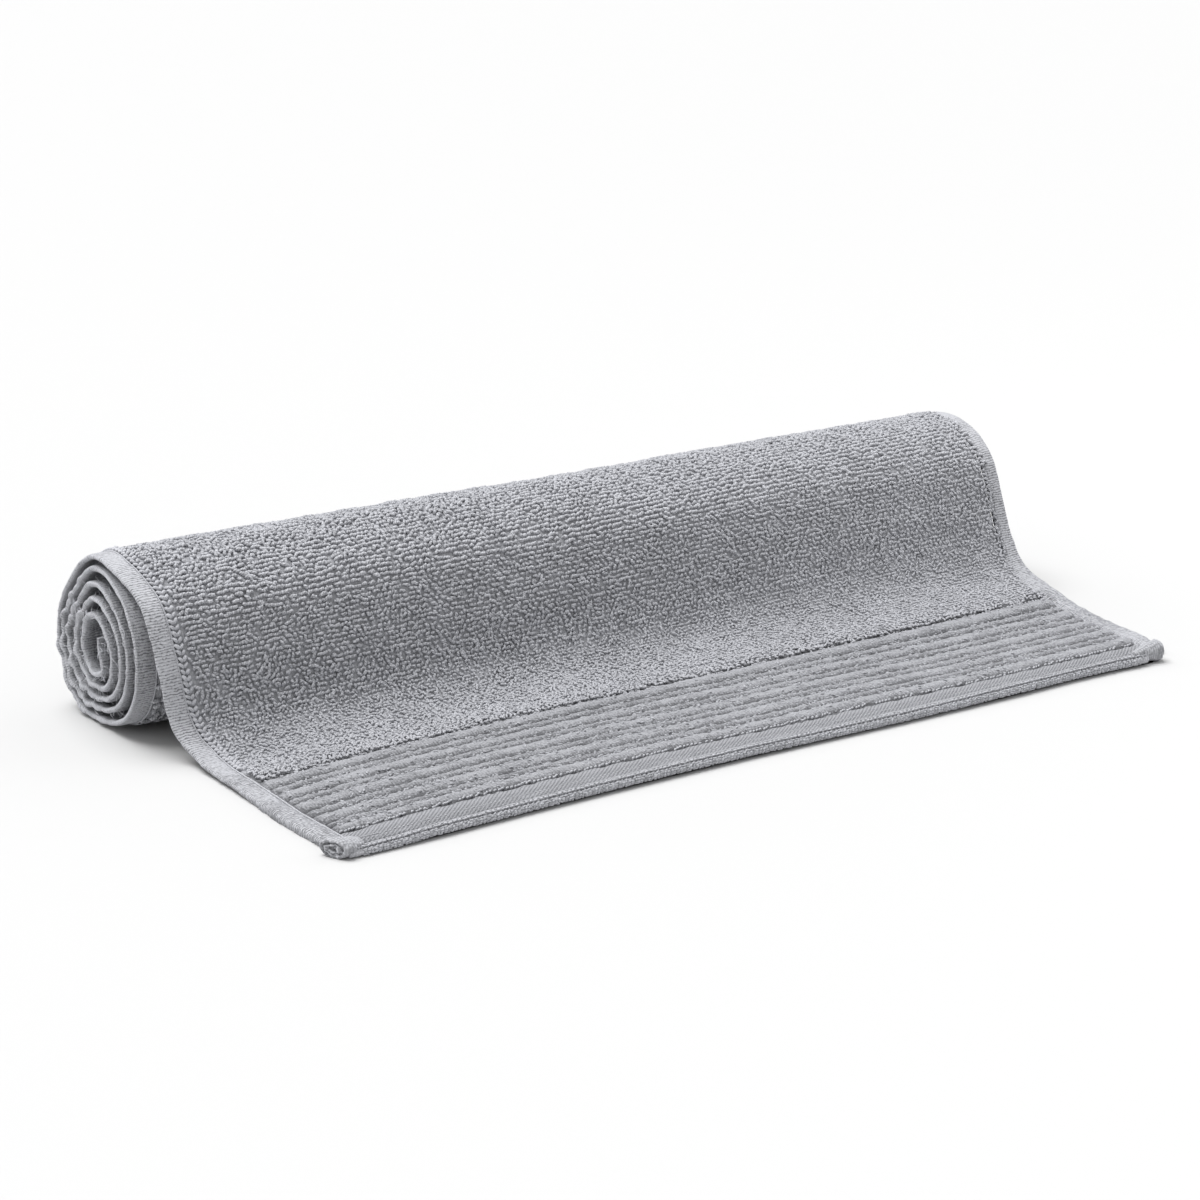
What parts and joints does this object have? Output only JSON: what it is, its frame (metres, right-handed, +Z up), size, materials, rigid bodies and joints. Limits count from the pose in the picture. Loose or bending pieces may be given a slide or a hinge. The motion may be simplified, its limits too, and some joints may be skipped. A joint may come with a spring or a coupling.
{
  "type": "rolled face towel",
  "caption": "Terry face towel wound into a spiral roll, its free end with a ribbed border lying flat in front of the roll.",
  "frame": {"origin": "centre of the whole piece's footprint on the surface it lies on", "axes": "+X along the roll, -Y the way the free end points, +Z up"},
  "size_m": [0.503, 0.2585, 0.0881],
  "materials": {
    "terry": "looped cotton terry, matt, cool mid grey"
  },
  "bodies": {
    "root": {"towel": "terry"}
  },
  "joints": []
}
